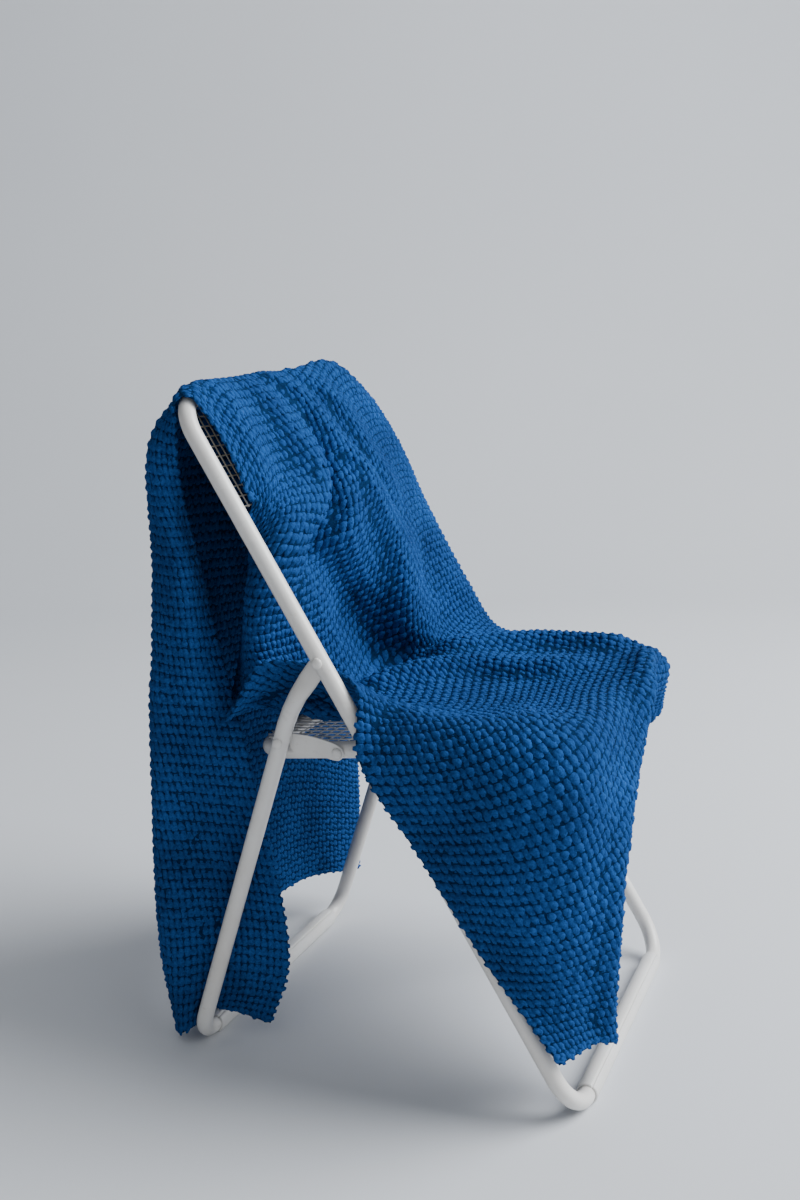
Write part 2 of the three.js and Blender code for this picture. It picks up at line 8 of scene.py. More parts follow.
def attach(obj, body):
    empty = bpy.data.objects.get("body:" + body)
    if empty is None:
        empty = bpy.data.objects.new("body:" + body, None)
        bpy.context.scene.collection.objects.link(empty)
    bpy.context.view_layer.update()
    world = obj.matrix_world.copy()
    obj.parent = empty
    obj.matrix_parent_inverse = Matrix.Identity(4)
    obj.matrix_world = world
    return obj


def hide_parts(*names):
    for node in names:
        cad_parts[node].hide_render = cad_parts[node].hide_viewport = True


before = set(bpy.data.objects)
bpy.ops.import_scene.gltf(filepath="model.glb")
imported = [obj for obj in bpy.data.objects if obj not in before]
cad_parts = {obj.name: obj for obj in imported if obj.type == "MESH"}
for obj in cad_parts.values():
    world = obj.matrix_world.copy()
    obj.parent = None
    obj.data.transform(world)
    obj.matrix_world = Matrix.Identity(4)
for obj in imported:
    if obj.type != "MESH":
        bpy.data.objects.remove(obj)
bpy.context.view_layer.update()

# Sizes are in millimetres, measured from the chair's own middle; placed() turns them into the frame.
MM = 0.001
MIDDLE = np.array([-15.5, 7.7, 0.0])
SEED = 7
rng = np.random.default_rng(SEED)


def placed(points):
    return (np.asarray(points, float) - MIDDLE) * MM


# Chair, at tube centres.
TUBE_R = 9.5
TUBE_SIDES = 24
BEND_STEPS = 12
FLOOR_TUBE_Z = 11.0
MAIN_HALF_WIDTH = 218.0
MAIN_FOOT = np.array([229.0, 0, FLOOR_TUBE_Z])
MAIN_TOP = np.array([-204.1, 0, 754.0])
MAIN_BEND_R = 45.0
REAR_HALF_WIDTH = 199.0
REAR_FOOT = np.array([-229.0, 0, FLOOR_TUBE_Z])
REAR_BEND_R = 34.0
LEG_STEPS = 5
SEAT_HALF_WIDTH = 175.0
SEAT_REAR = np.array([-145.0, 0, 362.0])
SEAT_FRONT = np.array([215.0, 0, 396.5])
SEAT_BEND_R = 38.0
BACK_MESH_FROM = 728.0
BACK_MESH_TO = 838.0
BACK_WIRES_TO = 850.0
BACK_MESH_HALF_WIDTH = 190.0
MESH_WIRE = 2.6
MESH_LIFT = 0.3
WIRE_R = 0.85
WIRE_PITCH = 12.5
WIRE_SIDES = 8
WIRE_OVER = 2.0
WIRE_INTO = 1.0
PIVOT = np.array([-45.0, 0, 480.0])
SEAT_PIVOT = np.array([-105.0, 0, 382.0])
LINK_RIVET = np.array([-44.0, 0, 371.0])
RIVET_R = 6.0
RIVET_DOME = 3.0
RIVET_DOME_END = 1.45
RIVET_RINGS = 8
RIVET_SIDES = 28
RIVET_GAP = 0.3
LINK_THICK = 2.5
LINK_EASE = 0.7
LINK_STEPS = 60
LINK_GAP = 0.3
SLEEVE_R = 12.0
SLEEVE_HALF_LENGTH = {"front": 171.0, "rear": 163.0}
SLEEVE_SEAM_AT = math.radians(58)
SLEEVE_SEAM_DEEP = 1.2
SLEEVE_SEAM_EDGES = np.radians([-5, -3, 3, 5])
SLEEVE_SEAM_HALF = math.radians(4)
SLEEVE_STEPS = 40
SLEEVE_FIT = 0.15
# Eased end of a sleeve: how far in from its face, and how far along.
SLEEVE_EASE = [(1.4, 0.0), (0.4, 0.5), (0.0, 1.7)]

# Rear leg above its floor bend, seen from the side.
# half is the half width in the side view, thin the half thickness across, shift the offset inward.
LEG_SECTIONS = [
    dict(x=-99, z=401, half=9.5, thin=9.5, shift=0),
    dict(x=-92, z=418, half=9.7, thin=9.3, shift=0),
    dict(x=-82, z=436, half=10.2, thin=8.5, shift=0),
    dict(x=-70, z=453, half=11.5, thin=5.5, shift=0.5),
    dict(x=-58, z=468, half=11, thin=2.6, shift=-3.6),
    dict(x=-50, z=475.5, half=8.5, thin=2.2, shift=-4.2),
    dict(x=-46, z=480, half=4.5, thin=2.2, shift=-4.2),
]

# Throw: lines along its length, with their distances from the near edge.
# Each section gives one point on every line, from the back hem to the front hem.
CLOTH_HALF = 3.5
CLOTH_CLEAR = 2.6
LINES = dict(near=0, turn=65, inner=150, middle=310, outer=470, far=620)
SECTIONS = [
    dict(at="back hem", near=(-160, -150, 17), turn=(-212, -177, 38), inner=(-258, -196, 10),
         middle=(-280, -20, 50), outer=(-262, 148, 68), far=(-218, 250, 52)),
    dict(at="back low", near=(-129, -158, 105), turn=(-203, -184, 118), inner=(-273, -198, 118),
         middle=(-286, -30, 150), outer=(-262, 140, 170), far=(-218, 258, 175)),
    dict(at="back middle", near=(-155, -176, 330), turn=(-222, -194, 325), inner=(-275, -190, 330),
         middle=(-278, -25, 345), outer=(-250, 140, 355), far=(-222, 256, 350)),
    dict(at="back high", near=(-214, -162, 548), turn=(-214, -199, 546), inner=(-262, -188, 560),
         middle=(-258, 15, 572), outer=(-240, 160, 572), far=(-222, 252, 500)),
    dict(at="rail back", near=(-216, -200, 692), turn=(-232, -210, 704), inner=(-250, -186, 722),
         middle=(-242, 52, 726), outer=(-236, 185, 718), far=(-216, 248, 590)),
    dict(at="rail top", near=(-199, -212, 759), turn=(-204, -172, 771), inner=(-204, -108, 772),
         middle=(-204, 52, 776), outer=(-204, 186, 780), far=(-202, 248, 635)),
    dict(at="rail front", near=(-176, -199, 735), turn=(-175, -130, 735), inner=(-172, -58, 736),
         middle=(-170, 88, 740), outer=(-170, 220, 742), far=(-180, 252, 605)),
    dict(at="mesh middle", near=(-138, -197, 662), turn=(-137, -132, 670), inner=(-131, -60, 674),
         middle=(-129, 88, 675), outer=(-129, 229, 674), far=(-140, 258, 535)),
    dict(at="mesh foot", near=(-152, -168, 600), turn=(-117, -168, 607), inner=(-97, -72, 611),
         middle=(-95, 80, 614), outer=(-96, 219, 611), far=(-105, 252, 475)),
    dict(at="sag", near=(-180, -114, 541), turn=(-140, -178, 549), inner=(-97, -90, 540),
         middle=(-70, 70, 545), outer=(-62, 216, 548), far=(-72, 246, 425)),
    dict(at="roll back", near=(-198, -122, 436), turn=(-146, -172, 453), inner=(-110, -88, 455),
         middle=(-72, 55, 465), outer=(-28, 216, 487), far=(-40, 242, 385)),
    dict(at="roll bottom", near=(-169, -205, 399), turn=(-128, -176, 400), inner=(-102, -88, 398),
         middle=(-72, 42, 412), outer=(-5, 213, 450), far=(-15, 240, 362)),
    dict(at="roll front", near=(-149, -208, 428), turn=(-110, -180, 408), inner=(-82, -86, 404),
         middle=(-50, 36, 408), outer=(15, 207, 434), far=(10, 240, 352)),
    dict(at="roll crest", near=(-122, -205, 469), turn=(-78, -182, 405), inner=(-60, -82, 402),
         middle=(-25, 32, 418), outer=(40, 203, 427), far=(40, 240, 348)),
    dict(at="seat back", near=(-66, -188, 467), turn=(-35, -165, 410), inner=(-10, -105, 400),
         middle=(40, 35, 408), outer=(90, 200, 423), far=(90, 240, 345)),
    dict(at="tube front", near=(-5, -218, 454), turn=(25, -165, 425), inner=(70, -125, 405),
         middle=(105, 30, 406), outer=(140, 196, 422), far=(140, 238, 345)),
    dict(at="seat side", near=(3, -237, 385), turn=(60, -214, 407), inner=(135, -170, 415),
         middle=(165, 15, 410), outer=(190, 190, 420), far=(188, 228, 345)),
    dict(at="flap top", near=(68, -238, 287), turn=(125, -238, 327), inner=(214, -203, 397),
         middle=(238, -25, 411), outer=(246, 178, 412), far=(230, 216, 340)),
    dict(at="flap middle", near=(140, -238, 178), turn=(198, -237, 213), inner=(247, -190, 245),
         middle=(240, -25, 300), outer=(218, 125, 345), far=(224, 190, 330)),
    dict(at="front hem", near=(217, -236, 77), turn=(238, -184, 77), inner=(245, -128, 66),
         middle=(200, -10, 172), outer=(198, 112, 268), far=(214, 172, 326)),
]

# Folds: soft ridges (+) and troughs (-) along paths of places on the cloth.
# A place is a section number counted from the back hem and a distance from the near edge.
FOLDS = [
    dict(at="turned near edge", near=15, far=40, height=11,
         path=[(5.9, 46), (6.2, 38), (6.67, 30), (7.1, 28)]),
    dict(at="low ridge under the rail", near=13, far=36, height=10,
         path=[(5.9, 144), (6.5, 130), (7.0, 132)]),
    dict(at="middle ridge under the rail", near=13, far=46, height=20,
         path=[(6.05, 219), (6.4, 220), (6.83, 222), (7.33, 214), (7.7, 204)]),
    dict(at="far ridge under the rail", near=13, far=46, height=17,
         path=[(6.05, 299), (6.5, 306), (7.08, 304), (7.6, 318)]),
    dict(at="near edge of the pouch", near=14, far=34, height=6, path=[(8.3, 66), (9, 66), (10.5, 66)]),
    dict(at="pouch", near=64, far=13, height=17,
         path=[(7.1, 172), (7.5, 160), (7.67, 152), (8.0, 130), (8.3, 126)]),
    dict(at="crease", near=12, far=28, height=-26,
         path=[(7.15, 188), (7.5, 176), (7.7, 168), (8.0, 148), (8.3, 142)]),
    dict(at="valley", near=38, far=24, height=-26,
         path=[(8.3, 146), (9.0, 196), (9.58, 232), (10.25, 286), (10.7, 330)]),
    dict(at="hollow of the near roll", near=26, far=30, height=22, path=[(11.3, 36), (12.0, 38), (13.6, 40)]),
    dict(at="ridge over the sag", near=16, far=54, height=23,
         path=[(7.7, 250), (8.08, 262), (8.58, 278), (9.25, 294), (9.92, 318), (10.33, 334)]),
    dict(at="far hollow", near=30, far=30, height=-9, path=[(9.25, 384), (9.75, 380), (10.33, 392)]),
    dict(at="back ridge on the seat", near=14, far=30, height=17,
         path=[(11.33, 345), (13.17, 360), (13.58, 390), (14.2, 414), (16.0, 428)]),
    dict(at="front ridge on the seat", near=14, far=30, height=17,
         path=[(12.5, 222), (13.0, 254), (13.42, 302), (13.83, 334), (14.67, 338), (15.33, 350)]),
    dict(at="shoulder of the flap", near=24, far=24, height=8,
         path=[(15.7, 68), (16.0, 114), (16.3, 177)]),
    dict(at="fold of the back fall", near=26, far=26, height=8, path=[(0.2, 118), (2.4, 124)]),
    dict(at="front edge of the flap", near=20, far=11, height=15,
         path=[(16.75, 398), (17.0, 360), (17.42, 334), (17.67, 254), (18.0, 186), (18.5, 146), (19, 112)]),
    dict(at="behind the front edge", near=15, far=30, height=-34,
         path=[(17.02, 425), (17.25, 388), (17.5, 360), (17.7, 318), (18.0, 252), (18.5, 210), (19, 172)]),
]

# Knit: a thin core with rows of stitches on both faces, each row half a stitch aside from the next.
LOOP_PITCH = 14.8
ROW_PITCH = 12.0
CORE_HALF = 1.0
FLAT = (0.62, 1.95)
EDGE_IN = 0.55
FACE_PARTS = dict(upper=3, lower=2)


def curve_points(points, at):
    """Centripetal spline through points (batch, n, 3) at the places `at` (0 to n - 1)."""
    n = points.shape[1]
    first = 2 * points[:, :1] - points[:, 1:2]
    last = 2 * points[:, -1:] - points[:, -2:-1]
    ends = np.concatenate([first, points, last], axis=1)
    i = np.clip(np.floor(at).astype(int), 0, n - 2)
    f = (at - i)[None, :, None]
    p0, p1, p2, p3 = (ends[:, i + k] for k in range(4))

    def step(a, b):
        return np.maximum(((b - a) ** 2).sum(-1, keepdims=True) ** 0.25, 1e-4)

    d0, d1, d2 = step(p0, p1), step(p1, p2), step(p2, p3)
    t1 = ((p1 - p0) / d0 - (p2 - p0) / (d0 + d1) + (p2 - p1) / d1) * d1
    t2 = ((p2 - p1) / d1 - (p3 - p1) / (d1 + d2) + (p3 - p2) / d2) * d1
    c2 = -3 * p1 + 3 * p2 - 2 * t1 - t2
    c3 = 2 * p1 - 2 * p2 + t1 + t2
    return p1 + t1 * f + c2 * f * f + c3 * f ** 3


def normals_of(grid):
    along = np.gradient(grid, axis=0)
    across = np.gradient(grid, axis=1)
    n = np.cross(along, across)
    return n / np.maximum(np.linalg.norm(n, axis=-1, keepdims=True), 1e-9)


def even_lengths(grid, count):
    """Re-spaces the points of each line of grid evenly along the line, with any further values of theirs."""
    out = np.empty((len(grid), count, grid.shape[2]))
    for k, line in enumerate(grid):
        run = np.r_[0, np.cumsum(np.linalg.norm(np.diff(line[:, :3], axis=0), axis=1))]
        at = np.linspace(0, run[-1], count)
        for axis in range(grid.shape[2]):
            out[k, :, axis] = np.interp(at, run, line[:, axis])
    return out


def bent_path(corners, radius, steps):
    """Open path through corner points, with a circular bend at each inner corner."""
    path = [np.asarray(corners[0], float)]
    for a, b, c in zip(corners[:-2], corners[1:-1], corners[2:]):
        a, b, c = (np.asarray(p, float) for p in (a, b, c))
        u = (a - b) / np.linalg.norm(a - b)
        v = (c - b) / np.linalg.norm(c - b)
        half = math.acos(np.clip(u @ v, -1, 1)) / 2
        mid = (u + v) / np.linalg.norm(u + v)
        centre = b + mid * radius / math.sin(half)
        start = b + u * radius / math.tan(half) - centre
        end = b + v * radius / math.tan(half) - centre
        sweep = math.pi - 2 * half
        for k in range(steps + 1):
            f = k / steps
            path.append(centre + (math.sin((1 - f) * sweep) * start + math.sin(f * sweep) * end)
                        / math.sin(sweep))
    path.append(np.asarray(corners[-1], float))
    return np.array(path)


def pushed_off(points, runs):
    """Points moved off straight runs of tube, each given as from, to and the reach to keep."""
    for a, b, reach in runs:
        d = b - a
        f = np.clip(((points - a) @ d) / (d @ d), 0, 1)
        off = points - (a + f[:, None] * d)
        gap = np.linalg.norm(off, axis=1)
        close = (gap < reach) & (gap > 1e-6)
        points[close] += off[close] * ((reach - gap[close]) / gap[close])[:, None]
    return points


def unit(v):
    return v / np.linalg.norm(v)


main_up = unit(MAIN_TOP - MAIN_FOOT)
main_out = np.array([main_up[2], 0, -main_up[0]])
leg_top = np.array([LEG_SECTIONS[0]["x"], 0, LEG_SECTIONS[0]["z"]], float)
rear_up = unit(leg_top - REAR_FOOT)
seat_along = unit(SEAT_FRONT - SEAT_REAR)
seat_length = np.linalg.norm(SEAT_FRONT - SEAT_REAR)
seat_up = np.array([-seat_along[2], 0, seat_along[0]])
Y = np.array([0.0, 1.0, 0.0])


def on_main(along, y, off=0.0):
    return MAIN_FOOT + along * main_up + y * Y + off * main_out


def on_seat(along, y, off=0.0):
    return SEAT_REAR + along * seat_along + y * Y + off * seat_up


def mesh_piece(name, points, faces, material, slot, smooth=True):
    mesh = bpy.data.meshes.new(name)
    mesh.from_pydata(placed(points).tolist(), [], faces)
    mesh.polygons.foreach_set("use_smooth", [smooth] * len(mesh.polygons))
    mesh.materials.append(material)
    mesh.update()
    piece = bpy.data.objects.new(name, mesh)
    bpy.context.scene.collection.objects.link(piece)
    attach(piece, "root")
    return piece


def skin(rings, closed=False):
    """Faces over rings (n, sides, 3) in turn; open runs get flat ends."""
    n, sides = rings.shape[:2]
    k = np.arange(sides)
    after = (k + 1) % sides
    faces = []
    for r in range(n if closed else n - 1):
        a = r * sides
        b = ((r + 1) % n) * sides
        faces += np.stack([a + k, a + after, b + after, b + k], axis=1).tolist()
    if not closed:
        faces.append(k[::-1].tolist())
        faces.append(((n - 1) * sides + k).tolist())
    return rings.reshape(-1, 3), faces


def rings_along(path, normal, half, thin, sides=TUBE_SIDES, closed=False):
    """Elliptic rings along a path in one plane: half in the plane, thin along its normal."""
    if closed:
        tangent = np.roll(path, -1, axis=0) - np.roll(path, 1, axis=0)
    else:
        tangent = np.gradient(path, axis=0)
    tangent = tangent / np.linalg.norm(tangent, axis=1, keepdims=True)
    normal = np.broadcast_to(normal, path.shape)
    across = np.cross(normal, tangent)
    t = 2 * np.pi * np.arange(sides) / sides
    half = np.broadcast_to(half, len(path))[:, None, None]
    thin = np.broadcast_to(thin, len(path))[:, None, None]
    return (path[:, None] + half * np.cos(t)[None, :, None] * across[:, None]
            + thin * np.sin(t)[None, :, None] * normal[:, None])


def joined(parts):
    """Several (points, faces) lists as one."""
    points = []
    faces = []
    start = 0
    for p, f in parts:
        points.append(p)
        faces += [[i + start for i in face] for face in f]
        start += len(p)
    return np.concatenate(points), faces


def lathe(profile, centre, axis, sides):
    """Turned solid with flat ends: profile rows (radius, height) along axis."""
    axis = unit(np.asarray(axis, float))
    u = unit(np.cross(axis, [0.3, 0.2, 0.9]))
    v = np.cross(axis, u)
    t = 2 * np.pi * np.arange(sides) / sides
    rings = [[r * (np.cos(a) * u + np.sin(a) * v) + h * axis for a in t] for r, h in profile]
    return skin(np.array(rings) + centre)


def shader(name, base, roughness):
    """Material with its node tree at hand: nodes, links, the surface node and the place on the object."""
    material = bpy.data.materials.new(name)
    material.use_nodes = True
    nodes = material.node_tree.nodes
    links = material.node_tree.links
    bsdf = nodes["Principled BSDF"]
    bsdf.inputs["Base Color"].default_value = (*base, 1)
    bsdf.inputs["Roughness"].default_value = roughness
    where = nodes.new("ShaderNodeTexCoord")
    return material, nodes, links, bsdf, where.outputs["Object"]


def noise(nodes, links, where, scale, detail, rough):
    n = nodes.new("ShaderNodeTexNoise")
    n.inputs["Scale"].default_value = scale
    n.inputs["Detail"].default_value = detail
    n.inputs["Roughness"].default_value = rough
    links.new(where, n.inputs["Vector"])
    return n.outputs["Fac"]


def ramp(nodes, links, value, stops):
    r = nodes.new("ShaderNodeValToRGB")
    r.color_ramp.elements[0].position = stops[0][0]
    r.color_ramp.elements[0].color = (*stops[0][1], 1)
    r.color_ramp.elements[1].position = stops[-1][0]
    r.color_ramp.elements[1].color = (*stops[-1][1], 1)
    for at, colour in stops[1:-1]:
        r.color_ramp.elements.new(at).color = (*colour, 1)
    links.new(value, r.inputs["Fac"])
    return r.outputs["Color"]


def blended(nodes, links, a, b, how, amount):
    m = nodes.new("ShaderNodeMix")
    m.data_type = "RGBA"
    m.blend_type = how
    m.inputs["Factor"].default_value = amount
    links.new(a, m.inputs["A"])
    links.new(b, m.inputs["B"])
    return m.outputs["Result"]


def bumped(nodes, links, bsdf, value, distance, strength):
    b = nodes.new("ShaderNodeBump")
    b.inputs["Distance"].default_value = distance
    b.inputs["Strength"].default_value = strength
    links.new(value, b.inputs["Height"])
    links.new(b.outputs["Normal"], bsdf.inputs["Normal"])


# Noise of the wool and the paint: how fine it is, its octaves and their roughness.
WOOL_SHADE = dict(scale=11, detail=4, rough=0.6)
WOOL_STRAND = dict(scale=270, detail=2, rough=0.5)
WOOL_FIBRE = dict(scale=620, detail=3, rough=0.65)
PAINT_PATCH = dict(scale=7, detail=5, rough=0.65)
PAINT_SPECK = dict(scale=160, detail=2, rough=0.5)
# Tints that the strands and the fibres give to the dye.
STRAND_TINTS = [(0.34, (0.6, 0.64, 0.68)), (0.5, (1, 1, 1)), (0.7, (1.16, 1.12, 1.08))]
FIBRE_TINTS = [(0.3, (0.55, 0.6, 0.66)), (0.55, (1, 1, 1)), (0.8, (1.25, 1.2, 1.1))]
SPECK_TINTS = [(0.2, (0.86, 0.83, 0.79)), (0.34, (1, 1, 1))]


def settings(node, values):
    for name, value in values.items():
        node.inputs[name].default_value = value


def wool(name, dark, mid, light):
    """Dyed wool: slow changes of tone, twisted strands, a heather of fibres and a faint nap; the core's
    darker colours are painted shade.
    """
    material, nodes, links, bsdf, where = shader(name, mid, roughness=0.9)
    shade = noise(nodes, links, where, **WOOL_SHADE)
    fibre = noise(nodes, links, where, **WOOL_FIBRE)
    strand = noise(nodes, links, where, **WOOL_STRAND)
    dye_and_painted_core_shade = ramp(nodes, links, shade, [(0.3, dark), (0.5, mid), (0.72, light)])
    heather = ramp(nodes, links, fibre, FIBRE_TINTS)
    strands = ramp(nodes, links, strand, STRAND_TINTS)
    shaded = blended(nodes, links, dye_and_painted_core_shade, strands, "MULTIPLY", 0.9)
    links.new(blended(nodes, links, shaded, heather, "MULTIPLY", 0.8), bsdf.inputs["Base Color"])
    bumped(nodes, links, bsdf, strand, distance=0.0016, strength=0.6)
    settings(bsdf, {"Specular IOR Level": 0.03, "Sheen Weight": 0.03, "Sheen Roughness": 0.5,
                    "Sheen Tint": (0.15, 0.5, 1, 1)})
    return material


def paint(name, base, stain, roughness):
    """Glossy baked paint, a little uneven and yellowed in places; the back wires' dark colours are painted
    shade.
    """
    material, nodes, links, bsdf, where = shader(name, base, roughness)
    patches = noise(nodes, links, where, **PAINT_PATCH)
    specks = noise(nodes, links, where, **PAINT_SPECK)
    tone = ramp(nodes, links, patches, [(0.42, base), (0.78, stain)])
    wear = ramp(nodes, links, specks, SPECK_TINTS)
    links.new(blended(nodes, links, tone, wear, "MULTIPLY", 0.7), bsdf.inputs["Base Color"])
    glossy, dull = roughness - 0.06, roughness + 0.14
    gloss = ramp(nodes, links, patches, [(0.3, (glossy,) * 3), (0.75, (dull,) * 3)])
    links.new(gloss, bsdf.inputs["Roughness"])
    bumped(nodes, links, bsdf, specks, distance=0.0003, strength=0.25)
    settings(bsdf, {"Coat Weight": 0.25, "Coat Roughness": 0.2})
    return material


loop_wool = wool("loop_wool", (0.012, 0.051, 0.174), (0.015, 0.068, 0.228), (0.019, 0.087, 0.292))
# The core is the same yarn as the stitches, coloured about three times darker as painted shade for the gaps
# between them.
painted_shade_core_wool = wool("painted_shade_core_wool", (0.002, 0.016, 0.055), (0.003, 0.021, 0.07), (0.004, 0.027, 0.09))
white_paint = paint("white_paint", (0.78, 0.755, 0.72), (0.68, 0.63, 0.57), 0.3)
# The back wires are white wire like the seat's; this dark grey-brown is painted shade for the shadowed gap
# they sit in.
back_wire_painted_shade = paint("back_wire_painted_shade", (0.26, 0.24, 0.21), (0.2, 0.18, 0.15), 0.45)
wire_paint = paint("wire_paint", (0.76, 0.74, 0.71), (0.64, 0.6, 0.55), 0.36)
sleeve_plastic = paint("sleeve_plastic", (0.74, 0.725, 0.7), (0.66, 0.63, 0.58), 0.46)


def frame_loop(foot, top, half_width, radius):
    """Closed path of a frame that is a single bent tube."""
    corners = [(foot + top) / 2 - half_width * Y, foot - half_width * Y, foot + half_width * Y,
               top + half_width * Y, top - half_width * Y, (foot + top) / 2 - half_width * Y]
    return bent_path(corners, radius, BEND_STEPS)[:-1]


main_path = frame_loop(MAIN_FOOT, MAIN_TOP, MAIN_HALF_WIDTH, MAIN_BEND_R)
main_rings = rings_along(main_path, main_out, TUBE_R, TUBE_R, closed=True)
main_frame = mesh_piece("main_frame", *skin(main_rings, closed=True), white_paint, "white_paint")
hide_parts("main_top_rail", "main_floor_bar", "main_side_near", "main_side_far")
seat_path = frame_loop(SEAT_REAR, SEAT_FRONT, SEAT_HALF_WIDTH, SEAT_BEND_R)
seat_rings = rings_along(seat_path, seat_up, TUBE_R, TUBE_R, closed=True)
seat_frame = mesh_piece("seat_frame", *skin(seat_rings, closed=True), white_paint, "white_paint")
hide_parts("seat_front_bar", "seat_rear_bar", "seat_side_near", "seat_side_far")


def rear_rings():
    """Rings of the rear legs in one run: down one leg, along the floor bar and up the other."""
    count = len(LEG_SECTIONS)
    fine = np.linspace(0, count - 1, LEG_STEPS * (count - 1) + 1)
    at = {name: np.interp(fine, np.arange(count), [section[name] for section in LEG_SECTIONS])
          for name in LEG_SECTIONS[0]}
    leg = np.stack([at["x"], REAR_HALF_WIDTH - at["shift"], at["z"]], axis=1)
    bar = bent_path([leg_top - REAR_HALF_WIDTH * Y, REAR_FOOT - REAR_HALF_WIDTH * Y,
                     REAR_FOOT + REAR_HALF_WIDTH * Y, leg_top + REAR_HALF_WIDTH * Y], REAR_BEND_R, BEND_STEPS)
    path = np.concatenate([leg[:0:-1] * [1, -1, 1], bar, leg[1:]])
    up = np.gradient(leg, axis=0)
    normal = np.stack([up[:, 2], np.zeros(len(leg)), -up[:, 0]], axis=1)
    normal = normal / np.linalg.norm(normal, axis=1, keepdims=True)
    flat = np.tile([rear_up[2], 0, -rear_up[0]], (len(bar), 1))
    normals = np.concatenate([normal[:0:-1], flat, normal[1:]])
    round_r = np.full(len(bar), TUBE_R)
    across, along = (np.concatenate([at[name][:0:-1], round_r, at[name][1:]]) for name in ("thin", "half"))
    return rings_along(path, normals, across, along)


rear_frame = mesh_piece("rear_frame", *skin(rear_rings()), white_paint, "white_paint")
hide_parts("rear_floor_bar", "rear_leg_near", "rear_leg_far")


def wires(place, length, width, ends, lift, corner=0.0):
    """Welded wire grid: wires along one way, and across them on top, on a plane given by place()."""
    def short_by(left):
        """How much a wire loses where it meets a rounded corner, by its distance from the corner's side."""
        return corner - math.sqrt(max(corner ** 2 - max(corner - left, 0) ** 2, 0))

    def wire(start, end):
        path = np.array([place(*start), place(*end)])
        return skin(rings_along(path, place(0, 0, 1) - place(0, 0, 0), WIRE_R, WIRE_R, WIRE_SIDES))

    first, last = length
    lower = lift + WIRE_R
    upper = lift + MESH_WIRE - WIRE_R
    parts = []
    for along in np.linspace(first, last, round((last - first) / WIRE_PITCH) + 1):
        half = ends - short_by(min(along - first, last - along))
        parts.append(wire((along, -half, lower), (along, half, lower)))
    for across in np.linspace(-width, width, round(2 * width / WIRE_PITCH) + 1):
        cut = short_by(width - abs(across)) - WIRE_OVER
        parts.append(wire((first + cut, across, upper), (last - cut, across, upper)))
    return joined(parts)


seat_grid = wires(on_seat, (0, seat_length), SEAT_HALF_WIDTH, SEAT_HALF_WIDTH + WIRE_INTO,
                  TUBE_R + MESH_LIFT, SEAT_BEND_R)
seat_mesh = mesh_piece("seat_wires", *seat_grid, wire_paint, "white_paint")
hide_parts("seat_mesh")
# The back wires are drawn dark grey-brown as painted shade.
back_grid = wires(on_main, (BACK_MESH_FROM, BACK_WIRES_TO), BACK_MESH_HALF_WIDTH,
                  MAIN_HALF_WIDTH - TUBE_R + WIRE_INTO, -MESH_WIRE / 2)
back_mesh = mesh_piece("back_wires", *back_grid, back_wire_painted_shade, "white_paint")
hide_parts("back_mesh")

# Link plates with eased edges, rivet heads and sleeves.
LINK_OUTLINE = [(-100, 389), (-72, 387), (-40, 378), (-36, 371), (-41, 363), (-52, 363),
                (-66, 368), (-71, 372), (-77, 367), (-100, 371)]


def link_plate(y):
    outline = np.array(LINK_OUTLINE, float)
    places = np.linspace(0, len(outline), LINK_STEPS + 1)[:-1]
    outline = curve_points(np.vstack([outline, outline[:1]])[None], places)[0]
    middle = outline.mean(axis=0)
    eased = [(LINK_EASE, 0), (0, LINK_EASE), (0, LINK_THICK - LINK_EASE), (LINK_EASE, LINK_THICK)]
    rings = []
    for inset, depth in eased:
        away = outline - middle
        reach = np.linalg.norm(away, axis=1, keepdims=True)
        ring = middle + away * (1 - inset / reach)
        rings.append(np.stack([ring[:, 0], np.full(len(ring), y + depth), ring[:, 1]], axis=1))
    return skin(np.array(rings))


def rivet_head(centre, s):
    dome = [(RIVET_R * math.cos(a), RIVET_DOME * math.sin(a))
            for a in np.linspace(0, RIVET_DOME_END, RIVET_RINGS)]
    return lathe(dome, centre, s * Y, RIVET_SIDES)


seat_outer = SEAT_HALF_WIDTH + TUBE_R
for side, s in (("near", -1), ("far", 1)):
    inner = s * (seat_outer + LINK_GAP)
    plate = link_plate(min(inner, inner + s * LINK_THICK))
    link = mesh_piece("link_plate_" + side, *plate, white_paint, "white_paint", smooth=False)
    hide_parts("link_" + side)
    for name, spot, face in (("pivot_rivet_", PIVOT, MAIN_HALF_WIDTH + TUBE_R),
                             ("seat_rivet_", SEAT_PIVOT, REAR_HALF_WIDTH + TUBE_R),
                             ("link_rivet_", LINK_RIVET, seat_outer + LINK_GAP + LINK_THICK)):
        dome = rivet_head(spot + s * (face + RIVET_GAP) * Y, s)
        head = mesh_piece(name + side + "_head", *dome, white_paint, "white_paint")
        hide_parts(name + side)


def sleeve(x, half):
    """Split sleeve round a floor bar: flat underneath, a narrow seam along it, eased at both ends."""
    even = np.linspace(0, 2 * np.pi, SLEEVE_STEPS + 1)[:-1]
    a = np.unique(np.round(np.r_[even, SLEEVE_SEAM_AT + SLEEVE_SEAM_EDGES], 9))
    in_seam = abs(a - SLEEVE_SEAM_AT) < SLEEVE_SEAM_HALF
    ends = [(inset, -half + y) for inset, y in SLEEVE_EASE]
    ends += [(inset, half - y) for inset, y in SLEEVE_EASE[::-1]]
    rings = []
    for inset, y in ends:
        r = np.where(in_seam, SLEEVE_R - inset - SLEEVE_SEAM_DEEP, SLEEVE_R - inset)
        z = np.maximum(r * np.sin(a), -FLOOR_TUBE_Z + inset)
        rings.append(np.stack([x + r * np.cos(a), np.full(len(a), y), FLOOR_TUBE_Z + z], axis=1))
    bore = TUBE_R + SLEEVE_FIT
    for y in (half, -half):
        rings.append(np.stack([x + bore * np.cos(a), np.full(len(a), y),
                               FLOOR_TUBE_Z + bore * np.sin(a)], axis=1))
    return skin(np.array(rings[::-1]), closed=True)


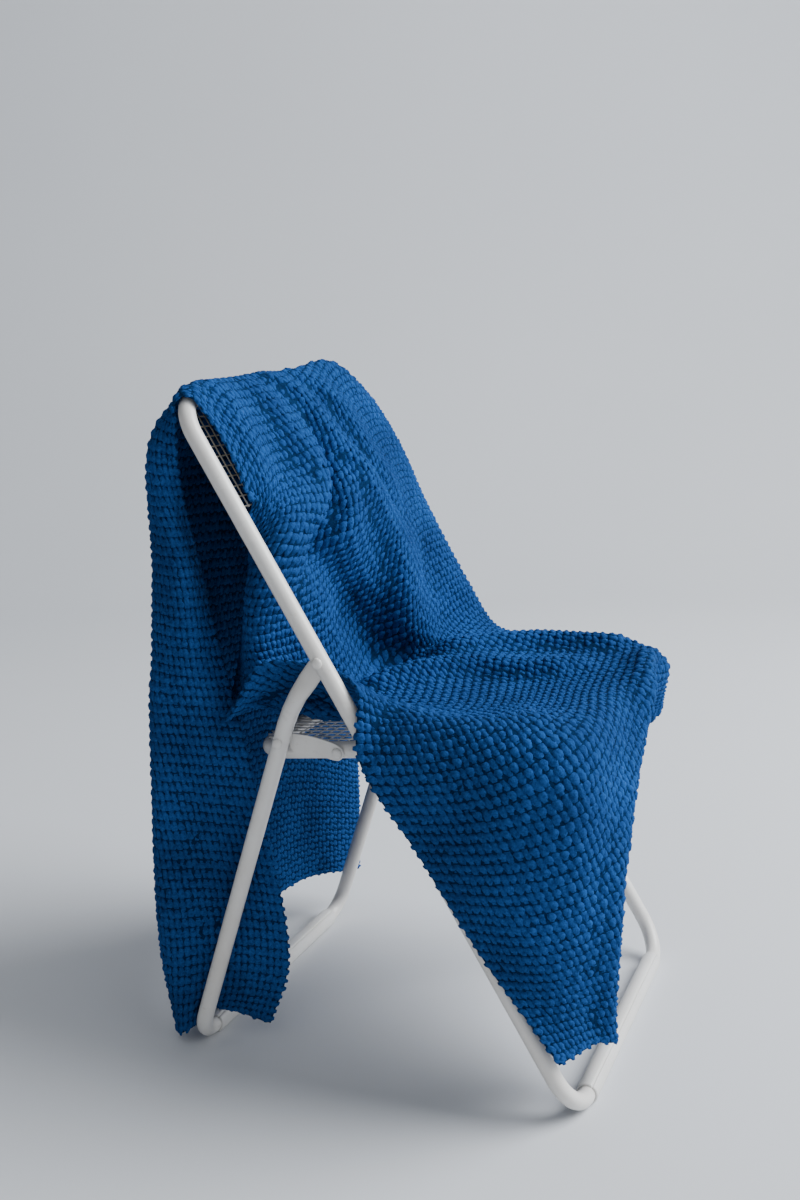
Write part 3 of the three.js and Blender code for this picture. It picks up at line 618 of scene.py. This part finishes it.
for bar, x in (("front", MAIN_FOOT[0]), ("rear", REAR_FOOT[0])):
    tube = sleeve(x, SLEEVE_HALF_LENGTH[bar])
    cover = mesh_piece("sleeve_cover_" + bar, *tube, sleeve_plastic, "sleeve_plastic")
    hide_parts("sleeve_" + bar)

# Throw: surface through the sections, lifted along its folds and rested on the chair.
REST_GAP = CLOTH_HALF + CLOTH_CLEAR
MOST_LIFT = 24.0
SPLINE_STEPS = 24
SLIDE = 0.5
SLIDE_TURNS = 240
SOFTEN_TURNS = 3
SOFTEN = 0.25
line_at = np.array(list(LINES.values()), float)
lines = np.array([[section[name] for section in SECTIONS] for name in LINES], float)
middle_line = lines[list(LINES).index("middle")]
section_at = np.r_[0, np.cumsum(np.linalg.norm(np.diff(middle_line, axis=0), axis=1))]


def spread_out(places):
    """Places (section, across) as distances along and across the cloth."""
    places = np.asarray(places, float)
    along = np.interp(places[..., 0], np.arange(len(section_at)), section_at)
    return np.stack([along, places[..., 1]], axis=-1)


def path_distance(spots, path):
    """Distances of spots from a path, less than nothing on its near side."""
    best = np.full(len(spots), np.inf)
    side = np.ones(len(spots))
    for a, b in zip(path[:-1], path[1:]):
        d = b - a
        off = spots - a
        f = np.clip((off @ d) / (d @ d), 0, 1)
        away = np.linalg.norm(off - f[:, None] * d, axis=1)
        closer = away < best
        best[closer] = away[closer]
        side[closer] = np.where(d[0] * off[:, 1] < d[1] * off[:, 0], -1, 1)[closer]
    return best * side


def chair_runs():
    """Straight runs of tube and mesh edge that the cloth keeps off, with their reach."""
    runs = []

    def add(path, radius):
        for a, b in zip(path[:-1], path[1:]):
            runs.append((a, b, radius + REST_GAP))

    seat_r = TUBE_R + 2 * MESH_LIFT + MESH_WIRE
    add(np.vstack([main_path, main_path[:1]]), TUBE_R)
    add(np.vstack([seat_path, seat_path[:1]]), seat_r)
    pivot_out = MAIN_HALF_WIDTH + RIVET_GAP + RIVET_DOME
    for s in (-1, 1):
        foot = REAR_FOOT + s * (REAR_HALF_WIDTH - REAR_BEND_R) * Y
        add(np.array([foot, REAR_FOOT + s * REAR_HALF_WIDTH * Y + REAR_BEND_R * rear_up]), TUBE_R)
        leg = np.array([[section["x"], s * REAR_HALF_WIDTH, section["z"]] for section in LEG_SECTIONS], float)
        add(np.vstack([REAR_FOOT + s * REAR_HALF_WIDTH * Y + REAR_BEND_R * rear_up, leg]), TUBE_R)
        add(np.array([PIVOT + s * MAIN_HALF_WIDTH * Y, PIVOT + s * pivot_out * Y]), TUBE_R)
    for foot, half in ((MAIN_FOOT, SLEEVE_HALF_LENGTH["front"]), (REAR_FOOT, SLEEVE_HALF_LENGTH["rear"])):
        add(np.array([foot - half * Y, foot + half * Y]), SLEEVE_R)
    corners = [on_main(BACK_MESH_TO, -BACK_MESH_HALF_WIDTH), on_main(BACK_MESH_FROM, -BACK_MESH_HALF_WIDTH),
               on_main(BACK_MESH_FROM, BACK_MESH_HALF_WIDTH), on_main(BACK_MESH_TO, BACK_MESH_HALF_WIDTH)]
    add(corners, MESH_WIRE)
    return runs


RUNS = chair_runs()


def rested(points):
    """Points pushed off every tube and mesh edge, the seat mesh and the back mesh."""
    points = pushed_off(points, RUNS)
    seat_off = points - SEAT_REAR
    x = seat_off @ seat_along
    lift = TUBE_R + 2 * MESH_LIFT + MESH_WIRE + REST_GAP - seat_off @ seat_up
    over = ((x > 0) & (x < seat_length) & (abs(points[:, 1]) < SEAT_HALF_WIDTH)
            & (lift > 0) & (lift < MOST_LIFT))
    points[over] += lift[over, None] * seat_up
    back_off = points - MAIN_FOOT
    x = back_off @ main_up
    lift = MESH_WIRE + REST_GAP - back_off @ main_out
    over = ((x > BACK_MESH_FROM) & (x < BACK_WIRES_TO) & (abs(points[:, 1]) < MAIN_HALF_WIDTH - TUBE_R)
            & (lift > 0) & (lift < MOST_LIFT))
    points[over] += lift[over, None] * main_out
    return points


ROWS = round(FLAT[1] / MM / ROW_PITCH)
LOOPS = round(FLAT[0] / MM / LOOP_PITCH)
along = np.linspace(0, len(SECTIONS) - 1, SPLINE_STEPS * (len(SECTIONS) - 1) + 1)
across = np.linspace(0, len(LINES) - 1, SPLINE_STEPS * (len(LINES) - 1) + 1)
cloth = curve_points(curve_points(lines, along).transpose(1, 0, 2), across)
run_along = np.interp(along, np.arange(len(section_at)), section_at)
run_across = np.interp(across, np.arange(len(line_at)), line_at)
spots = np.stack(np.meshgrid(run_along, run_across, indexing="ij"), axis=-1)

# Even steps along and across, so that every loop of the knit has the same share of cloth.
cloth = np.concatenate([cloth, spots], axis=-1)
for turn in range(2):
    cloth = even_lengths(cloth, 2 * LOOPS + 1)
    cloth = even_lengths(cloth.transpose(1, 0, 2), 2 * ROWS + 1).transpose(1, 0, 2)
spots = cloth[..., 3:]
cloth = cloth[..., :3]
lift = np.zeros(spots.shape[:2])
for fold in FOLDS:
    away = path_distance(spots.reshape(-1, 2), spread_out(fold["path"])).reshape(lift.shape)
    width = np.where(away < 0, fold["near"], fold["far"])
    lift += fold["height"] * np.exp(-(away / width) ** 2)
cloth = cloth + lift[..., None] * normals_of(cloth)


def around(grid):
    """Middle of the four neighbours of each inner point."""
    return (grid[:-2, 1:-1] + grid[2:, 1:-1] + grid[1:-1, :-2] + grid[1:-1, 2:]) / 4


def slid(grid):
    """Points moved along the cloth towards the middle of their neighbours, hem points along the hem."""
    pull = np.zeros_like(grid)
    pull[1:-1, 1:-1] = around(grid) - grid[1:-1, 1:-1]
    normal = normals_of(grid)
    pull -= (pull * normal).sum(-1, keepdims=True) * normal
    hems = ((grid[0], pull[0]), (grid[-1], pull[-1]), (grid[:, 0], pull[:, 0]), (grid[:, -1], pull[:, -1]))
    for hem, move in hems:
        way = hem[2:] - hem[:-2]
        way /= np.linalg.norm(way, axis=1, keepdims=True)
        step = (hem[2:] + hem[:-2]) / 2 - hem[1:-1]
        move[1:-1] = (step * way).sum(-1, keepdims=True) * way
    return grid + SLIDE * pull


for turn in range(SLIDE_TURNS):
    cloth = slid(cloth)
for turn in range(SOFTEN_TURNS):
    cloth[1:-1, 1:-1] += SOFTEN * (around(cloth) - cloth[1:-1, 1:-1])
    cloth = rested(slid(cloth).reshape(-1, 3)).reshape(cloth.shape)
out = normals_of(cloth)


def sheet_mesh(grid, normal, half):
    """Closed thin sheet on both sides of grid."""
    rows, columns = grid.shape[:2]
    top = (grid + half * normal).reshape(-1, 3)
    low = (grid - half * normal).reshape(-1, 3)
    i, j = np.meshgrid(np.arange(rows - 1), np.arange(columns - 1), indexing="ij")
    a = (i * columns + j).ravel()
    upper = np.stack([a, a + columns, a + columns + 1, a + 1], axis=1)
    count = rows * columns
    lower = upper[:, ::-1] + count
    rim = np.r_[np.arange(columns), np.arange(1, rows) * columns + columns - 1,
                (rows - 1) * columns + np.arange(columns - 2, -1, -1), np.arange(rows - 2, 0, -1) * columns]
    after = np.roll(rim, -1)
    edge = np.stack([rim, after, after + count, rim + count], axis=1)
    return np.concatenate([top, low]), np.concatenate([upper, lower, edge]).tolist()


# The core shows in the gaps between the stitches; its dark colour is painted shade.
core = mesh_piece("throw_core", *sheet_mesh(cloth[:, ::2], out[:, ::2], CORE_HALF), painted_shade_core_wool, "wool")
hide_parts("throw")


def on_cloth(rows, columns, height):
    """Points at places in grid steps, also a little past the edges, raised off the sheet's middle."""
    r = np.clip(np.floor(rows).astype(int), 0, cloth.shape[0] - 2)
    c = np.clip(np.floor(columns).astype(int), 0, cloth.shape[1] - 2)
    f = (rows - r)[..., None]
    g = (columns - c)[..., None]

    def mixed(values, f, g):
        return ((1 - f) * (1 - g) * values[r, c] + f * (1 - g) * values[r + 1, c]
                + (1 - f) * g * values[r, c + 1] + f * g * values[r + 1, c + 1])

    normal = mixed(out, np.clip(f, 0, 1), np.clip(g, 0, 1))
    normal = normal / np.linalg.norm(normal, axis=-1, keepdims=True)
    return mixed(cloth, f, g) + height[..., None] * normal


# One stitch: a wide rounded cap and a narrower lobe below it, sunk into the sheet.
KNUCKLE_SIDES = dict(upper=6, lower=5)
KNUCKLE_SINK = 0.8
KNUCKLE_ROUGH = 0.24
KNUCKLE_SIZES = (0.92, 1.08)
KNUCKLE_HEIGHTS = (0.88, 1.08)
KNUCKLE_LEAN = 0.14
KNUCKLE_STRAY = dict(along=0.05, across=0.04)
KNUCKLE = [
    dict(along=-5.9, half=2.6, height=0.4),
    dict(along=-4.4, half=4.8, height=2.6),
    dict(along=-1.6, half=5.7, height=3.8),
    dict(along=1.3, half=4.9, height=3.1),
    dict(along=2.9, half=3.8, height=1.6),
    dict(along=4.5, half=3.6, height=1.9),
    dict(along=6.3, half=2.2, height=0),
]


def knuckle(sides, sections):
    """Rings of one stitch as (across, along, height), arched above and shallow below."""
    a = 2 * np.pi * np.arange(sides) / sides
    rise = np.sin(a)
    rings = []
    for section in sections:
        arch = np.where(rise > 0, section["height"] + KNUCKLE_SINK, KNUCKLE_SINK) * rise - KNUCKLE_SINK
        rings.append(np.stack([section["half"] * np.cos(a), np.full(sides, section["along"]), arch], axis=1))
    return skin(np.array(rings))


def loops(name, template, rows, columns, heading, side):
    """Many stitches as one piece: places in grid steps, the way each one points, and the face it lies on."""
    shape, shape_faces = template
    count = len(rows)
    uneven = rng.normal(0, KNUCKLE_ROUGH, (count, len(shape), 3))
    grow = rng.uniform(*KNUCKLE_SIZES, (count, 1))
    lean = heading[:, None] + rng.normal(0, KNUCKLE_LEAN, (count, 1))
    a = shape[None, :, 0] * grow + uneven[..., 0]
    b = shape[None, :, 1] * grow + uneven[..., 1]
    along = (b * np.cos(lean) - a * np.sin(lean)) / (ROW_PITCH / 2)
    across = (a * np.cos(lean) + b * np.sin(lean)) / (LOOP_PITCH / 2)
    along += rows[:, None] + rng.normal(0, KNUCKLE_STRAY["along"], (count, 1))
    across += columns[:, None] + rng.normal(0, KNUCKLE_STRAY["across"], (count, 1))
    rise = rng.uniform(*KNUCKLE_HEIGHTS, (count, 1))
    height = side[:, None] * (shape[None, :, 2] * rise + uneven[..., 2])
    points = on_cloth(along, across, height)
    turned = [face[::-1] for face in shape_faces]
    faces = []
    for k in range(count):
        base = k * len(shape)
        faces += [[i + base for i in face] for face in (shape_faces if side[k] > 0 else turned)]
    return mesh_piece(name, points.reshape(-1, 3), faces, loop_wool, "wool")


stitches = dict(upper=knuckle(KNUCKLE_SIDES["upper"], KNUCKLE),
                lower=knuckle(KNUCKLE_SIDES["lower"], KNUCKLE[::2]))
row, column = np.meshgrid(np.arange(ROWS), np.arange(LOOPS), indexing="ij")
for face, side in (("upper", 1), ("lower", -1)):
    shift = 0 if side > 0 else 1
    at_row = 2 * row + 1.0
    at_column = 2 * column + 0.5 + ((row + shift) % 2)
    parts = FACE_PARTS[face]
    for part in range(parts):
        keep = row * parts // ROWS == part
        count = keep.sum()
        loops("loops_%s_%d" % (face, part + 1), stitches[face], at_row[keep], at_column[keep],
                          np.zeros(count), np.full(count, side))

# Edges: stitches pointing outward along the selvages and the hems.
down = 2 * np.arange(ROWS) + 1.0
over = 2 * np.arange(LOOPS) + 1.0
edge_rows = np.r_[down, down, np.full(LOOPS, EDGE_IN), np.full(LOOPS, 2 * ROWS - EDGE_IN)]
edge_columns = np.r_[np.full(ROWS, EDGE_IN), np.full(ROWS, 2 * LOOPS - EDGE_IN), over, over]
heading = np.r_[np.full(ROWS, -np.pi / 2), np.full(ROWS, np.pi / 2), np.full(LOOPS, np.pi), np.zeros(LOOPS)]
faces_up = np.where(np.arange(len(edge_rows)) % 2 == 0, 1, -1)
loops("loops_edge", stitches["lower"], edge_rows, edge_columns, heading, faces_up)

# Stage: pale paper sweep, soft light, and the camera at the photo's place.
AZIMUTH = math.radians(21.999)
SWEEP_FLAT = 2.6
SWEEP_R = 1.6
SWEEP_HIGH = 7.0
SWEEP_HALF = 9.0
SWEEP_STEPS = 24
PAPER_DARK = (0.66, 0.67, 0.695)
PAPER_LIGHT = (0.68, 0.69, 0.715)
WORLD_COLOUR = (0.9, 0.95, 1, 1)
WORLD_WAY = (0.94, -0.12, 0.3)
WORLD_STRENGTH = {"From Min": -0.5, "From Max": 1, "To Min": 0.1, "To Max": 0.8}
LIGHTS = [
    dict(name="key", at=(2.95, 1.2, 2.95), target=(0, 0, 0.45), size=3.6, power=350,
         colour=(0.92, 0.96, 1.0)),
    dict(name="backdrop", at=(0.4, 1.2, 3.6), target=(-1.2, 3.9, 1.2), size=2.5, power=14,
         colour=(1, 1, 1)),
]
CAMERA_AT = np.array([559.2, -1485.9, 805.3])
ELEVATION = math.radians(10.572)
ROLL = math.radians(-1.474)
FOCAL_OVER_HEIGHT = 1.14025
SENSOR = 36

profile = [(-SWEEP_HALF, 0), (SWEEP_FLAT, 0)]
for t in np.linspace(0, math.pi / 2, SWEEP_STEPS + 1)[1:]:
    profile.append((SWEEP_FLAT + SWEEP_R * math.sin(t), SWEEP_R * (1 - math.cos(t))))
profile.append((SWEEP_FLAT + SWEEP_R, SWEEP_HIGH))
sweep_points = []
for x in (-SWEEP_HALF, SWEEP_HALF):
    for y, z in profile:
        sweep_points.append((x * math.cos(AZIMUTH) - y * math.sin(AZIMUTH),
                             x * math.sin(AZIMUTH) + y * math.cos(AZIMUTH), z))
count = len(profile)
sweep_mesh = bpy.data.meshes.new("sweep")
sweep_mesh.from_pydata(sweep_points, [], [[k, count + k, count + k + 1, k + 1] for k in range(count - 1)])
sweep_mesh.polygons.foreach_set("use_smooth", [True] * (count - 1))
paper, nodes, links, bsdf, where = shader("paper", PAPER_LIGHT, roughness=0.9)
clouds = noise(nodes, links, where, scale=0.8, detail=2, rough=0.5)
links.new(ramp(nodes, links, clouds, [(0.3, PAPER_DARK), (0.7, PAPER_LIGHT)]), bsdf.inputs["Base Color"])
sweep_mesh.materials.append(paper)
sweep = bpy.data.objects.new("sweep", sweep_mesh)
bpy.context.scene.collection.objects.link(sweep)

world = bpy.data.worlds.new("studio")
bpy.context.scene.world = world
world.use_nodes = True
world_nodes = world.node_tree.nodes
world_links = world.node_tree.links
world_nodes["Background"].inputs["Color"].default_value = WORLD_COLOUR
way = world_nodes.new("ShaderNodeTexCoord")
brightness = world_nodes.new("ShaderNodeMapRange")
settings(brightness, WORLD_STRENGTH)
side_and_above = world_nodes.new("ShaderNodeVectorMath")
side_and_above.operation = "DOT_PRODUCT"
side_and_above.inputs[1].default_value = WORLD_WAY
world_links.new(way.outputs["Generated"], side_and_above.inputs[0])
world_links.new(side_and_above.outputs["Value"], brightness.inputs["Value"])
world_links.new(brightness.outputs["Result"], world_nodes["Background"].inputs["Strength"])


def area_light(name, at, target, size, power, colour):
    data = bpy.data.lights.new(name, "AREA")
    data.shape = "DISK"
    data.size = size
    data.energy = power
    data.color = colour
    light = bpy.data.objects.new(name, data)
    light.location = at
    light.rotation_euler = (Vector(target) - Vector(at)).to_track_quat("-Z", "Y").to_euler()
    bpy.context.scene.collection.objects.link(light)


for light in LIGHTS:
    area_light(**light)

right = Vector((math.cos(AZIMUTH), math.sin(AZIMUTH), 0))
level_back = Vector((math.sin(AZIMUTH), -math.cos(AZIMUTH), 0))
back = math.cos(ELEVATION) * level_back + Vector((0, 0, math.sin(ELEVATION)))
up = back.cross(right)
x_axis = math.cos(ROLL) * right + math.sin(ROLL) * up
y_axis = -math.sin(ROLL) * right + math.cos(ROLL) * up
camera_data = bpy.data.cameras.new("camera")
camera_data.sensor_fit = "AUTO"
camera_data.sensor_width = SENSOR
camera_data.lens = SENSOR * FOCAL_OVER_HEIGHT
camera = bpy.data.objects.new("camera", camera_data)
facing = Matrix((x_axis, y_axis, back)).transposed()
camera.matrix_world = Matrix.Translation(Vector(placed(CAMERA_AT))) @ facing.to_4x4()
bpy.context.scene.collection.objects.link(camera)
bpy.context.scene.camera = camera
